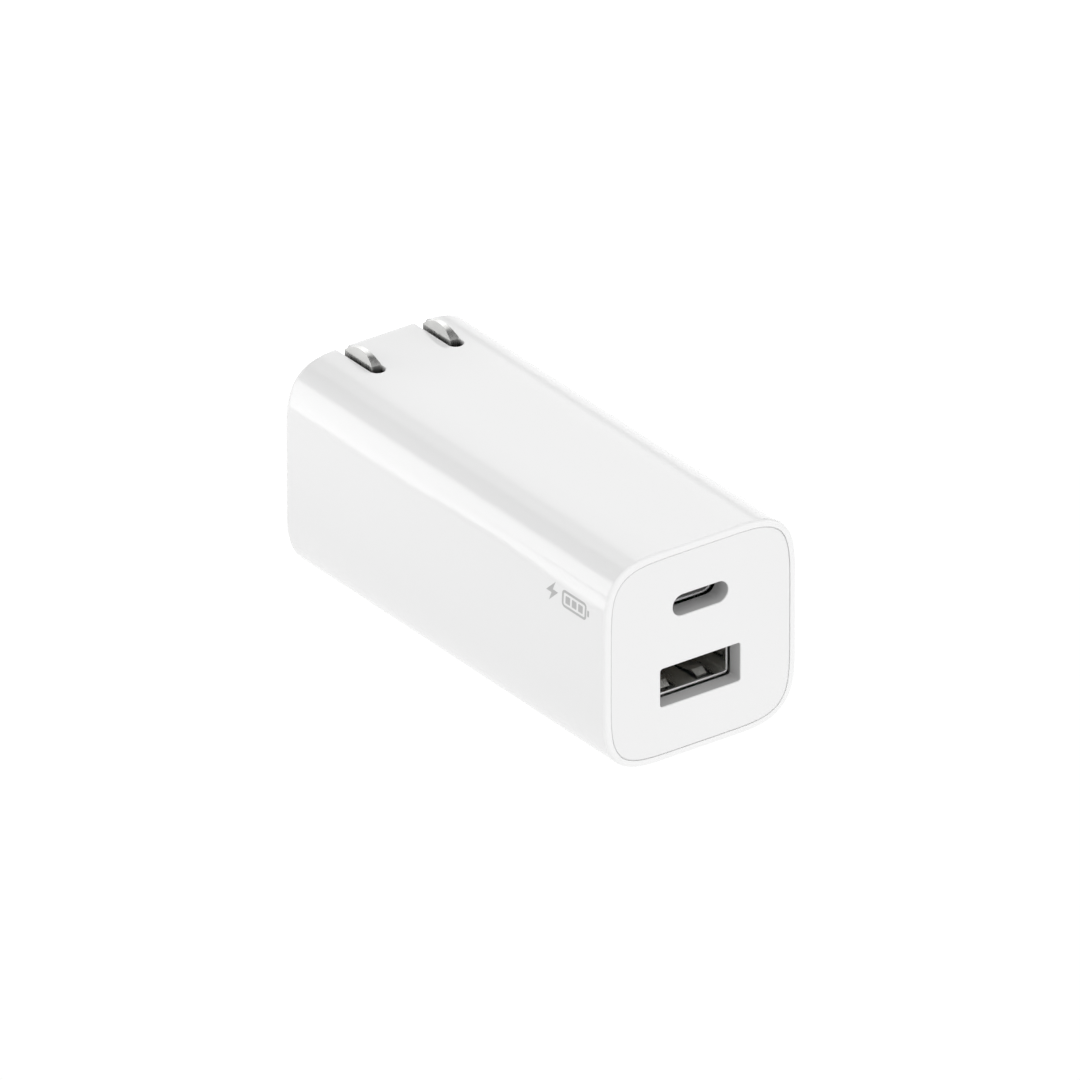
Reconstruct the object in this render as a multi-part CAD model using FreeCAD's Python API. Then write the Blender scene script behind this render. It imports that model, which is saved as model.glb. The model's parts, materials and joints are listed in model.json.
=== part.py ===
import FreeCAD, Part
import math
import os

# Wall-plug USB power adapter with two mains blades that fold into its back.
# Millimetres. The ports face -Y, the blades leave at +Y and +Z is up. The origin is the centre of
# the underside, so the square section is centred on x = 0 and z = HALF.

Vector = FreeCAD.Vector
X_AXIS = Vector(1, 0, 0)
Y_AXIS = Vector(0, 1, 0)
Z_AXIS = Vector(0, 0, 1)

# Outer shell: a square tube with soft corners and a closed back
LENGTH = 72.0
HALF = 15.5                     # half the section's width and height
FRONT_Y = -LENGTH / 2
BACK_Y = LENGTH / 2
SHELL_CORNER = 10.0             # how far a soft corner runs along each side
SHELL_POWER = 3.1               # superellipse power of the soft corner
WALL = 1.8
FRONT_EDGE = 0.5
BACK_EDGE = 1.0
CAVITY_HALF = HALF - WALL
CAVITY_CORNER = 8.2
CAVITY_BACK_Y = BACK_Y - WALL
MOUTH_EDGE = 0.15               # rounding where a slot or port meets the outside
CORNER_STEPS = 12

# Front panel, let into the shell's mouth with a fine seam round it
SEAM_HALF = 14.5
SEAM_CORNER = 12.7
SEAM_POWER = 4.85
SEAM_GAP = 0.10
SEAM_GROOVE_DEPTH = 0.22        # behind it the panel's flange fills the gap
FLANGE_PLAY = 0.01
PANEL_DEPTH = 2.0
PANEL_EDGE = 0.12
PANEL_BACK_Y = FRONT_Y + PANEL_DEPTH
HOOK_WIDTH = 3.0
HOOK_LENGTH = 4.5
HOOK_THICK = 1.0
HOOK_GRIP = 0.4                 # how far the hook's nose reaches into the wall
HOOK_NOSE = 1.2
HOOK_X = 3.6
HOOK_PLAY = 0.15

# Rails inside the shell that the main board slides on
RAIL_INNER_X = 10.8
RAIL_LOW_Z = 2.3
RAIL_FRONT_Y = -17.0
RAIL_BACK_Y = 24.0

# USB-A port
USB_A_Z = 10.83
USB_A_CUT = (13.0, 5.7)
USB_A_CUT_CORNER = 0.4
USB_A_RIM = 1.2                 # width of the raised rim behind the panel
USB_A_WALL_DEPTH = 2.4
USB_A_LIP_DEPTH = 2.9           # front of the metal shell, measured from the front face
USB_A_SHELL = (13.1, 5.72)
USB_A_SHEET = 0.3
USB_A_SHELL_CORNER = 0.55
USB_A_TONGUE_DEPTH = 4.15
USB_A_TONGUE = (11.1, 1.84)
USB_A_TONGUE_LOW = -0.05        # underside of the tongue, from the port's centre line
FINGER_X = 3.0                  # the sprung fingers of the metal shell
FINGER_TIP_DEPTH = 3.85
FINGER_CREST_DEPTH = 5.4
FINGER_ROOT_DEPTH = 9.6
FINGER_TIP_HALF = 0.75
FINGER_ROOT_HALF = 1.15
FINGER_RISE = 0.62
FINGER_TIP_LIFT = 0.1
FINGER_CREST_HALF = 0.45
FINGER_TAPER = 0.15
FINGER_SAG = 0.6                # share of the rise that is left halfway to the root
FINGER_WINDOW_HALF = 1.42
FINGER_WINDOW_DEPTH = 3.35
SIDE_FINGER_HALF = 0.8
SIDE_FINGER_RISE = 0.3
SIDE_WINDOW_PLAY = 0.25
SIDE_WINDOW_SETBACK = 0.4
USB_A_TAB_X = 4.0               # solder tabs of the metal shell
USB_A_TAB_HALF = 0.8
USB_A_TAB_REACH = 2.0
USB_A_TONGUE_EDGE = 0.3
USB_A_CONTACTS_X = (-3.5, -1.0, 1.0, 3.5)
USB_A_CONTACT = (1.0, 0.2)
USB_A_CONTACT_SETBACK = 1.2

# USB-C port
USB_C_Z = 22.2
USB_C_CUT = (9.0, 3.12)
USB_C_RIM = 1.1
USB_C_WALL_DEPTH = 3.0
USB_C_LIP_DEPTH = 3.6
USB_C_SHELL = (8.94, 3.16)
USB_C_SHEET = 0.3
USB_C_TONGUE = (6.7, 0.7)
USB_C_TONGUE_DEPTH = 4.9
USB_C_CONTACTS = 12
USB_C_PITCH = 0.5
USB_C_CONTACT = (0.25, 0.1)
USB_C_CONTACT_SETBACK = 0.6
USB_C_TONGUE_CORNER = 0.8

# Circuit boards
OUTPUT_BOARD_Y = -20.6
OUTPUT_BOARD_THICK = 1.2
OUTPUT_BOARD_HALF = 13.2
OUTPUT_BOARD_LOW_Z = 2.6
PORT_BASE_THICK = 1.6
MAIN_BOARD_Z = 3.4
MAIN_BOARD_THICK = 1.6
MAIN_BOARD_TOP_Z = MAIN_BOARD_Z + MAIN_BOARD_THICK
MAIN_BOARD_HALF = 11.6
MAIN_BOARD_FRONT_Y = OUTPUT_BOARD_Y + OUTPUT_BOARD_THICK
MAIN_BOARD_BACK_Y = 24.8
BOARD_TAB = (4.0, 2.0)          # tabs that pass through the output board, width and length
BOARD_TAB_X = 8.0
BOARD_TAB_PLAY = 0.1
LEAD_RADIUS = 0.3
LEAD_BELOW = 0.9                # how far a lead shows under the main board

# Mains blades and the spindle that carries them
BLADE_SPACING = 12.7
BLADE_THICK = 1.5
BLADE_WIDTH = 6.2
BLADE_EDGE = 0.12
TIP_Z = 32.65
TIP_ARC_RADIUS = 4.5
BEVEL_DEGREES = 17.0
SPINDLE_Y = 30.85
SPINDLE_Z = 10.75
TAIL_RADIUS = 5.35
TAIL_WIDTH = 3.0
DRUM_RADIUS = 4.0
DRUM_HALF_LENGTH = 8.9
DRUM_CHAMFER = 0.3
CAM_RADIUS = 3.75
CAM_FLAT = 3.2
CAM_HALF_LENGTH = 2.0
JOURNAL_RADIUS = 2.0
JOURNAL_PLAY = 0.05
JOURNAL_END_X = 11.2
SLOT_WIDTH = 2.2
SLOT_FRONT_Y = 26.5
WINDOW_HALF_X = 9.1
WINDOW_HALF_Z = 3.4
WINDOW_CORNER = 0.8

# Blade cradle, fixed behind the slots
CRADLE_FRONT_Y = 25.3
CRADLE_BACK_Y = CAVITY_BACK_Y - 0.05
CRADLE_HALF = 11.4
CRADLE_SECTION_HALF = CAVITY_HALF - 0.12
CHAMBER_RADIUS = 4.4
CHAMBER_HALF_X = 9.05
TAIL_SWEEP_RADIUS = 5.7
KEEPER_PLAY = 0.04
KEEPER_BACKSET = 0.3
CRADLE_HOLLOW_HALF = 4.2
CRADLE_HOLLOW_LOW_Z = 18.5
CRADLE_HOLLOW_HIGH_Z = 27.6
CRADLE_HOLLOW_BACK_Y = 32.6
STAKE_RADIUS = 0.6
STAKE_HEAD = 0.6

# Leaf contacts and detent spring
LEAF_THICK = 0.4
LEAF_WIDTH = 3.0
LEAF_TOP_Z = 17.2
LEAF_CORNER = 0.6
LEAF_STAKE_Z = 15.4
LEAF_FOOT = 1.2                 # how far the leaf's foot reaches over the main board
DETENT_THICK = 0.3
DETENT_HALF = 1.8
DETENT_Y = 26.5
DETENT_LOW_Z = 7.2
DETENT_TOP_Z = 17.2
DETENT_STAKE_Z = 16.3
DETENT_SLOT_PLAY = 0.3

# Liner, heat spreader and pads round the power parts
LINER_HALF = 13.6
LINER_THICK = 0.2
LINER_LOW_Z = 6.2
LINER_FRONT_Y = -18.6
LINER_BACK_Y = 24.6
SPREADER_HALF = 13.35
SPREADER_THICK = 0.55
SPREADER_LOW_Z = 6.6
SPREADER_FRONT_Y = -17.6
SPREADER_BACK_Y = 23.6
PAD_HALF_Z = 5.2

# Transformer
TRANSFORMER_Y = -9.2
CORE_HALF_X = 10.2
CORE_HALF_Y = 3.5
CORE_LOW_Z = 5.8
CORE_HEIGHT = 18.0
CORE_PLATE = 3.0
CORE_LEG_INNER_X = 7.3
CENTRE_LEG_HALF = 2.8
CENTRE_LEG_INSET = 0.7          # the centre leg is this much thinner on each side along Y
BOBBIN_HALF_X = 6.9
BOBBIN_HALF_Y = 7.2
BOBBIN_FLANGE = 0.9
BOBBIN_TUBE = 0.8
WINDING_INSET = 0.5
WINDING_CORNER = 2.6
PIN_RAIL = 1.6
PIN_RAIL_LIFT = 0.4
BOBBIN_PINS = 5
BOBBIN_PIN_PITCH = 2.6

# Mains filter: a ring choke with two windings, X capacitor and fuse
CHOKE_Y = 14.6
CHOKE_Z = 14.6
CHOKE_OUTER = 7.4
CHOKE_INNER = 4.0
CHOKE_HALF_Y = 2.3
CHOKE_TURNS = 9
CHOKE_TURN_STEP = 14.0
CHOKE_WIRE = 0.8
CHOKE_COAT = 0.05               # lacquer gap between the ring and its windings
CHOKE_BASE_THICK = 1.4
CHOKE_BASE_HALF = (8.0, 3.2)
CHOKE_FIN_HALF = 0.5
X_CAPACITOR_BOX = (-8.8, 4.2, 18.8, 23.4, 11.0)     # x from, x to, y from, y to, height
FUSE_BOX = (5.4, 9.4, 19.4, 23.4, 8.2)
CASE_EDGE = 0.5

# Capacitors
BULK_RADIUS = 5.3
BULK_HEIGHT = 20.5
BULK_X = 5.8
BULK_Y = 5.0
OUTPUT_CAP_RADIUS = 3.15
OUTPUT_CAP_LENGTH = 9.4
OUTPUT_CAP_X = 9.7
OUTPUT_CAP_Z = 17.3
CAN_GROOVE = 0.35
CAN_EDGE = 0.5
CAN_GROOVE_PLACE = 0.09         # height of the crimp groove, as a share of the can's
CAN_SCORE = (0.7, 0.15, 0.2)    # cross scored in the can's end: reach, half width, depth
CAN_LEAD_GAP = 5.0
Y_CAPACITOR = (9.9, -15.8, 9.8, 2.8, 2.6)   # centre x, y, z, radius, thickness
Y_CAPACITOR_LEAD = 1.6
Y_CAPACITOR_EDGE = 1.0

# Chip packages: centre x, centre y, size x, size y, height, leads each side
BRIDGE = (-1.0, 14.5, 8.0, 6.4, 1.0, 2)
PRIMARY_SWITCH = (0.0, 1.5, 7.0, 6.0, 0.9, 6)
CONTROL_CHIP = (0.0, 8.6, 4.0, 5.0, 1.0, 4)
SYNC_RECTIFIER = (0.0, -9.2, 5.0, 6.0, 1.0, 4)
OPTOCOUPLER = (-9.6, -15.3, 3.4, 4.4, 2.6, 2)
PROTOCOL_CHIP = (0.0, 17.2, 4.0, 4.0, 0.85, 5)
CHIP_EDGE = 0.2
CHIP_LEAD = 0.35
CHIP_LEAD_REACH = 0.6
CHIP_LEAD_THICK = 0.3
CHIP_LIFT = 0.08                # gap between package and board

BLADE_X = BLADE_SPACING / 2
SLOT_HALF = SLOT_WIDTH / 2
SLOT_ROUND_Y = SLOT_FRONT_Y + SLOT_HALF
SIDES = (("left", -1), ("right", 1))


def box(x0, x1, y0, y1, z0, z1):
    return Part.makeBox(x1 - x0, y1 - y0, z1 - z0, Vector(x0, y0, z0))


def cylinder(radius, start, axis, length):
    return Part.makeCylinder(radius, length, start, axis)


def join(shapes):
    return shapes[0].multiFuse(shapes[1:]).removeSplitter()


def cut(shape, tools):
    for tool in tools:
        shape = shape.cut(tool)
    return shape


def soft_outline(half, corner, power, y):
    """A square outline in the plane y, whose corners are superellipse quarters."""
    straight = half - corner
    edges = []
    for turn in range(4):
        points = []
        for step in range(CORNER_STEPS + 1):
            angle = math.radians(90.0 * step / CORNER_STEPS)
            across = math.cos(angle)
            up = math.sin(angle)
            reach = corner / (abs(across) ** power + abs(up) ** power) ** (1 / power)
            points.append(Vector(straight + reach * across, 0, straight + reach * up))
        curve = Part.BSplineCurve()
        curve.interpolate(Points=points, InitialTangent=Z_AXIS, FinalTangent=-X_AXIS)
        side = Part.LineSegment(Vector(half, 0, -straight), Vector(half, 0, straight))
        for piece in (side, curve):
            edge = piece.toShape()
            edge.rotate(Vector(0, 0, 0), -Y_AXIS, 90 * turn)
            edge.translate(Vector(0, y, HALF))
            edges.append(edge)
    return Part.Wire(edges)


def soft_prism(half, corner, power, y0, y1):
    face = Part.Face(soft_outline(half, corner, power, y0))
    return face.extrude(Vector(0, y1 - y0, 0))


def cavity_prism(half, y0, y1):
    """A prism with the cavity's own corner, shrunk to the given half width."""
    return soft_prism(half, half - CAVITY_HALF + CAVITY_CORNER, SHELL_POWER, y0, y1)


def round_prism(size, radius, y0, y1, z):
    """A box along Y with a width and height, and its four long edges rounded."""
    body = box(-size[0] / 2, size[0] / 2, y0, y1, z - size[1] / 2, z + size[1] / 2)
    return body.makeFillet(radius, edges_along(body, Y_AXIS))


def stadium_prism(size, y0, y1, z):
    return round_prism(size, size[1] / 2 - 0.001, y0, y1, z)


def edges_along(shape, axis):
    found = []
    for edge in shape.Edges:
        if isinstance(edge.Curve, Part.Line) and abs(edge.Curve.Direction.dot(axis)) > 0.999:
            found.append(edge)
    return found


def edges_at_y(shape, place):
    """The edges that lie wholly in one plane across Y."""
    found = []
    for edge in shape.Edges:
        span = edge.BoundBox
        if abs(span.YMin - place) < 0.01 and abs(span.YMax - place) < 0.01:
            found.append(edge)
    return found


def rounded_box(x0, x1, y0, y1, z0, z1, edge):
    body = box(x0, x1, y0, y1, z0, z1)
    return body.makeFillet(edge, body.Edges)


# ---------------------------------------------------------------- casing

def slot_cutter(side, low_z):
    """A blade slot: open at the top and at the back, with a round front end."""
    x = side * BLADE_X
    top_z = TIP_Z + 1
    channel = box(x - SLOT_HALF, x + SLOT_HALF, SLOT_ROUND_Y, BACK_Y + 1, low_z, top_z)
    end = cylinder(SLOT_HALF, Vector(x, SLOT_ROUND_Y, low_z), Z_AXIS, top_z - low_z)
    return channel.fuse(end)


def hook_boxes(play):
    """The four snap hooks of the front panel, or their pockets when play is given."""
    hooks = []
    for up in (-1, 1):
        for side in (-1, 1):
            x = side * HOOK_X
            wall = CAVITY_HALF - HOOK_PLAY
            stem = (wall - HOOK_THICK, wall)
            nose = (wall - HOOK_THICK, CAVITY_HALF + HOOK_GRIP)
            y_end = PANEL_BACK_Y + HOOK_LENGTH
            half = HOOK_WIDTH / 2 + play
            for (inner, outer), y_start in ((stem, PANEL_BACK_Y), (nose, y_end - HOOK_NOSE)):
                low, high = sorted((HALF + up * inner, HALF + up * (outer + play)))
                hooks.append(box(x - half, x + half, y_start - play, y_end + play, low, high))
    return hooks


def make_outer_shell():
    body = soft_prism(HALF, SHELL_CORNER, SHELL_POWER, FRONT_Y, BACK_Y)
    body = body.makeFillet(BACK_EDGE, edges_at_y(body, BACK_Y))
    body = body.makeFillet(FRONT_EDGE, edges_at_y(body, FRONT_Y))
    mouth = soft_prism(SEAM_HALF + SEAM_GAP / 2, SEAM_CORNER, SEAM_POWER, FRONT_Y - 1, PANEL_BACK_Y)
    cavity = cavity_prism(CAVITY_HALF, PANEL_BACK_Y - 0.5, CAVITY_BACK_Y)
    window = box(-WINDOW_HALF_X, WINDOW_HALF_X, CAVITY_BACK_Y - 1, BACK_Y + 1,
                 SPINDLE_Z - WINDOW_HALF_Z, SPINDLE_Z + WINDOW_HALF_Z)
    window = window.makeFillet(WINDOW_CORNER, edges_along(window, Y_AXIS))
    shell = cut(body, [mouth, cavity, window])
    for name, side in SIDES:
        shell = shell.cut(slot_cutter(side, SPINDLE_Z))
        rail_inner = side * RAIL_INNER_X
        rail_outer = side * HALF
        low_x, high_x = sorted((rail_inner, rail_outer))
        rail = box(low_x, high_x, RAIL_FRONT_Y, RAIL_BACK_Y, RAIL_LOW_Z, MAIN_BOARD_Z)
        shell = shell.fuse(rail.common(cavity_prism(CAVITY_HALF + WALL / 2, FRONT_Y, BACK_Y)))
    shell = cut(shell.removeSplitter(), hook_boxes(HOOK_PLAY))
    return soften_mouths(shell)


def soften_mouths(shell):
    """Rounds the edges where the slots and the window meet the top and back faces."""
    edges = []
    for edge in shell.Edges:
        low = edge.BoundBox
        on_top = abs(low.ZMin - 2 * HALF) < 0.01 and low.YMin > SLOT_FRONT_Y - 0.1
        on_back = abs(low.YMin - BACK_Y) < 0.01 and low.ZMax < 2 * HALF - BACK_EDGE - 0.01
        on_mouth = abs(low.XMin) < WINDOW_HALF_X + 0.1 and abs(low.XMax) < WINDOW_HALF_X + 0.1
        wide = low.XMax - low.XMin > BLADE_SPACING / 2 and low.ZMax - low.ZMin < 0.1
        outline = wide and low.ZMax < BACK_EDGE + 0.1
        if on_mouth and (on_top or on_back) and not outline:
            edges.append(edge)
    try:
        softened = shell.makeFillet(MOUTH_EDGE, edges)
    except Part.OCCError:
        return shell
    return softened if softened.isValid() else shell


def make_front_panel():
    panel = soft_prism(SEAM_HALF - SEAM_GAP / 2, SEAM_CORNER, SEAM_POWER, FRONT_Y, PANEL_BACK_Y)
    panel = panel.makeFillet(PANEL_EDGE, edges_at_y(panel, FRONT_Y))
    flange = soft_prism(SEAM_HALF + SEAM_GAP / 2 - FLANGE_PLAY, SEAM_CORNER, SEAM_POWER,
                        FRONT_Y + SEAM_GROOVE_DEPTH, PANEL_BACK_Y)
    rim_a = (USB_A_CUT[0] + 2 * USB_A_RIM, USB_A_CUT[1] + 2 * USB_A_RIM)
    rim_c = (USB_C_CUT[0] + 2 * USB_C_RIM, USB_C_CUT[1] + 2 * USB_C_RIM)
    panel = join([
        panel,
        flange,
        round_prism(rim_a, USB_A_RIM, PANEL_BACK_Y - 1, FRONT_Y + USB_A_WALL_DEPTH, USB_A_Z),
        stadium_prism(rim_c, PANEL_BACK_Y - 1, FRONT_Y + USB_C_WALL_DEPTH, USB_C_Z),
    ] + hook_boxes(0))
    cut_a = round_prism(USB_A_CUT, USB_A_CUT_CORNER, FRONT_Y - 1, FRONT_Y + 2 * PANEL_DEPTH, USB_A_Z)
    cut_c = stadium_prism(USB_C_CUT, FRONT_Y - 1, FRONT_Y + 2 * PANEL_DEPTH, USB_C_Z)
    panel = cut(panel, [cut_a, cut_c])
    mouths = []
    for edge in edges_at_y(panel, FRONT_Y):
        low = edge.BoundBox
        if abs(low.XMin) < USB_A_CUT[0] and abs(low.XMax) < USB_A_CUT[0] / 2 + 0.1 and on_port(low):
            mouths.append(edge)
    return panel.makeFillet(MOUTH_EDGE, mouths)


def on_port(low):
    near_a = low.ZMin > USB_A_Z - USB_A_CUT[1] and low.ZMax < USB_A_Z + USB_A_CUT[1]
    near_c = low.ZMin > USB_C_Z - USB_C_CUT[1] and low.ZMax < USB_C_Z + USB_C_CUT[1]
    return near_a or near_c


# ---------------------------------------------------------------- USB ports

def prism_between(profile, x_at):
    """A sheet strip: the profile's (depth, height) points, with a half width for each."""
    faces = []
    for (start, end) in zip(profile[:-1], profile[1:]):
        faces.append(Part.makeLoft([strip_edge(start, x_at), strip_edge(end, x_at)], True, True))
    return join(faces)


def strip_edge(point, x_at):
    depth, height, half, thick = point
    y = FRONT_Y + depth
    corners = [Vector(x_at - half, y, height), Vector(x_at + half, y, height),
               Vector(x_at + half, y, height + thick), Vector(x_at - half, y, height + thick)]
    return Part.makePolygon(corners + corners[:1])


def bottom_finger(x):
    """A sprung finger: rooted in the sheet, raised into the port and bent down at its tip."""
    sheet_z = USB_A_Z - USB_A_SHELL[1] / 2
    thick = USB_A_SHEET
    bend_depth = (FINGER_CREST_DEPTH + FINGER_ROOT_DEPTH) / 2
    crest_z = sheet_z + FINGER_RISE
    profile = [
        (FINGER_TIP_DEPTH, sheet_z + FINGER_TIP_LIFT, FINGER_TIP_HALF, thick),
        (FINGER_CREST_DEPTH - FINGER_CREST_HALF, crest_z, FINGER_TIP_HALF + FINGER_TAPER, thick),
        (FINGER_CREST_DEPTH + FINGER_CREST_HALF, crest_z, FINGER_ROOT_HALF - FINGER_TAPER, thick),
        (bend_depth, sheet_z + FINGER_RISE * FINGER_SAG, FINGER_ROOT_HALF, thick),
        (FINGER_ROOT_DEPTH, sheet_z, FINGER_ROOT_HALF, thick),
    ]
    return prism_between(profile, x)


def side_finger(side):
    """A shallow finger pressed inwards from a side wall of the port."""
    finger = bottom_finger(0)
    finger.translate(Vector(0, 0, USB_A_SHELL[1] / 2 - USB_A_Z))
    squeeze = FreeCAD.Matrix()
    squeeze.scale(SIDE_FINGER_HALF / FINGER_ROOT_HALF, 1, SIDE_FINGER_RISE / FINGER_RISE)
    finger = finger.transformGeometry(squeeze)
    finger.rotate(Vector(0, 0, 0), Y_AXIS, -90 * side)
    finger.translate(Vector(side * USB_A_SHELL[0] / 2, 0, USB_A_Z))
    return finger


def make_usb_a_shell():
    front = FRONT_Y + USB_A_LIP_DEPTH
    inner_size = (USB_A_SHELL[0] - 2 * USB_A_SHEET, USB_A_SHELL[1] - 2 * USB_A_SHEET)
    outer = round_prism(USB_A_SHELL, USB_A_SHELL_CORNER, front, OUTPUT_BOARD_Y, USB_A_Z)
    inner = round_prism(inner_size, USB_A_SHELL_CORNER - USB_A_SHEET, front - 1, OUTPUT_BOARD_Y + 1, USB_A_Z)
    shell = outer.cut(inner)
    shell = shell.makeFillet(USB_A_SHEET / 3, edges_at_y(shell, front))
    low_z = USB_A_Z - USB_A_SHELL[1] / 2
    window_y = FRONT_Y + FINGER_WINDOW_DEPTH
    root_y = FRONT_Y + FINGER_ROOT_DEPTH
    fingers = []
    for x in (-FINGER_X, FINGER_X):
        window = box(x - FINGER_WINDOW_HALF, x + FINGER_WINDOW_HALF, window_y, root_y,
                     low_z - 1, low_z + 1)
        shell = shell.cut(window)
        fingers.append(bottom_finger(x))
    for name, side in SIDES:
        wall = sorted((side * (USB_A_SHELL[0] / 2 - 1), side * (USB_A_SHELL[0] / 2 + 1)))
        half = SIDE_FINGER_HALF + SIDE_WINDOW_PLAY
        side_window = box(wall[0], wall[1], window_y + SIDE_WINDOW_SETBACK, root_y,
                          USB_A_Z - half, USB_A_Z + half)
        shell = shell.cut(side_window)
        fingers.append(side_finger(side))
    return join([shell] + fingers + usb_a_shell_tabs())


def usb_a_shell_tabs():
    """Two tabs of the metal shell that pass through the output board."""
    low_z = USB_A_Z - USB_A_SHELL[1] / 2
    tabs = []
    for name, side in SIDES:
        x = side * USB_A_TAB_X
        tabs.append(box(x - USB_A_TAB_HALF, x + USB_A_TAB_HALF, OUTPUT_BOARD_Y - USB_A_TAB_HALF,
                        OUTPUT_BOARD_Y + USB_A_TAB_REACH, low_z, low_z + USB_A_SHEET))
    return tabs


def make_usb_a_tongue():
    low_z = USB_A_Z + USB_A_TONGUE_LOW
    half = USB_A_TONGUE[0] / 2
    y0 = FRONT_Y + USB_A_TONGUE_DEPTH
    tongue = box(-half, half, y0, OUTPUT_BOARD_Y - PORT_BASE_THICK, low_z, low_z + USB_A_TONGUE[1])
    front = edges_at_y(tongue, y0)
    tongue = tongue.makeChamfer(USB_A_TONGUE_EDGE, front)
    return cut(tongue, contact_solids(USB_A_CONTACTS_X, usb_a_contact_box()))


def usb_a_contact_box():
    low_z = USB_A_Z + USB_A_TONGUE_LOW
    start = FRONT_Y + USB_A_TONGUE_DEPTH + USB_A_CONTACT_SETBACK
    return (USB_A_CONTACT[0] / 2, start, OUTPUT_BOARD_Y + OUTPUT_BOARD_THICK, low_z, low_z + USB_A_CONTACT[1])


def contact_solids(places, contact):
    half, y0, y1, z0, z1 = contact
    return [box(x - half, x + half, y0, y1, z0, z1) for x in places]


def make_usb_a_contacts():
    return Part.makeCompound(contact_solids(USB_A_CONTACTS_X, usb_a_contact_box()))


def make_usb_a_base():
    inner_size = (USB_A_SHELL[0] - 2 * USB_A_SHEET, USB_A_SHELL[1] - 2 * USB_A_SHEET)
    base = round_prism(inner_size, USB_A_SHELL_CORNER - USB_A_SHEET,
                       OUTPUT_BOARD_Y - PORT_BASE_THICK, OUTPUT_BOARD_Y, USB_A_Z)
    return cut(base, contact_solids(USB_A_CONTACTS_X, usb_a_contact_box()))


def make_usb_c_shell():
    front = FRONT_Y + USB_C_LIP_DEPTH
    inner_size = (USB_C_SHELL[0] - 2 * USB_C_SHEET, USB_C_SHELL[1] - 2 * USB_C_SHEET)
    outer = stadium_prism(USB_C_SHELL, front, OUTPUT_BOARD_Y, USB_C_Z)
    shell = outer.cut(stadium_prism(inner_size, front - 1, OUTPUT_BOARD_Y + 1, USB_C_Z))
    lip = edges_at_y(shell, front)
    return shell.makeFillet(USB_C_SHEET / 3, lip)


def usb_c_contact_rows():
    start = FRONT_Y + USB_C_TONGUE_DEPTH + USB_C_CONTACT_SETBACK
    half, thick = USB_C_CONTACT[0] / 2, USB_C_CONTACT[1]
    first = -USB_C_PITCH * (USB_C_CONTACTS - 1) / 2
    places = [first + USB_C_PITCH * index for index in range(USB_C_CONTACTS)]
    top = USB_C_Z + USB_C_TONGUE[1] / 2
    low = USB_C_Z - USB_C_TONGUE[1] / 2
    end = OUTPUT_BOARD_Y
    rows = contact_solids(places, (half, start, end, top - thick, top))
    return rows + contact_solids(places, (half, start, end, low, low + thick))


def make_usb_c_tongue():
    half = USB_C_TONGUE[0] / 2
    y0 = FRONT_Y + USB_C_TONGUE_DEPTH
    low_z = USB_C_Z - USB_C_TONGUE[1] / 2
    tongue = box(-half, half, y0, OUTPUT_BOARD_Y - PORT_BASE_THICK, low_z, low_z + USB_C_TONGUE[1])
    corners = [edge for edge in edges_along(tongue, Z_AXIS) if edge.BoundBox.YMin < y0 + 0.01]
    return cut(tongue.makeFillet(USB_C_TONGUE_CORNER, corners), usb_c_contact_rows())


def make_usb_c_base():
    inner_size = (USB_C_SHELL[0] - 2 * USB_C_SHEET, USB_C_SHELL[1] - 2 * USB_C_SHEET)
    base = stadium_prism(inner_size, OUTPUT_BOARD_Y - PORT_BASE_THICK, OUTPUT_BOARD_Y, USB_C_Z)
    return cut(base, usb_c_contact_rows())


# ---------------------------------------------------------------- circuit boards

def board_tabs(play):
    tabs = []
    for name, side in SIDES:
        x = side * BOARD_TAB_X
        half = BOARD_TAB[0] / 2 + play
        tabs.append(box(x - half, x + half, MAIN_BOARD_FRONT_Y - BOARD_TAB[1], MAIN_BOARD_FRONT_Y + 1,
                        MAIN_BOARD_Z - play, MAIN_BOARD_TOP_Z + play))
    return tabs


def make_main_board():
    board = box(-MAIN_BOARD_HALF, MAIN_BOARD_HALF, MAIN_BOARD_FRONT_Y, MAIN_BOARD_BACK_Y,
                MAIN_BOARD_Z, MAIN_BOARD_TOP_Z)
    board = join([board] + board_tabs(0))
    return cut(board, all_lead_solids())


def make_output_board():
    board = cavity_prism(OUTPUT_BOARD_HALF, OUTPUT_BOARD_Y, OUTPUT_BOARD_Y + OUTPUT_BOARD_THICK)
    foot = box(-HALF, HALF, FRONT_Y, BACK_Y, 0, OUTPUT_BOARD_LOW_Z)
    contacts = contact_solids(USB_A_CONTACTS_X, usb_a_contact_box())
    return cut(board, [foot] + board_tabs(BOARD_TAB_PLAY) + contacts + usb_a_shell_tabs())


def lead(x, y, top_z):
    start = Vector(x, y, MAIN_BOARD_Z - LEAD_BELOW)
    return cylinder(LEAD_RADIUS, start, Z_AXIS, top_z - start.z)


def lead_places():
    """Where each through-hole part's leads pass the main board."""
    places = {
        "x_capacitor": [(-7.3, 21.1), (2.7, 21.1)],
        "fuse": [(6.2, 21.4), (8.6, 21.4)],
        "y_capacitor": [(Y_CAPACITOR[0], Y_CAPACITOR[1] - Y_CAPACITOR_LEAD),
                        (Y_CAPACITOR[0], Y_CAPACITOR[1] + Y_CAPACITOR_LEAD)],
    }
    for name, side in SIDES:
        x = side * BULK_X
        places["bulk_capacitor_" + name] = [(x, BULK_Y - CAN_LEAD_GAP / 2), (x, BULK_Y + CAN_LEAD_GAP / 2)]
    pins = []
    for row in (-1, 1):
        for index in range(BOBBIN_PINS):
            x = BOBBIN_PIN_PITCH * (index - (BOBBIN_PINS - 1) / 2)
            pins.append((x, TRANSFORMER_Y + row * (BOBBIN_HALF_Y - PIN_RAIL / 2)))
    places["transformer_bobbin"] = pins
    return places


def leads_of(name, top_z):
    return [lead(x, y, top_z) for x, y in lead_places()[name]]


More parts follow.
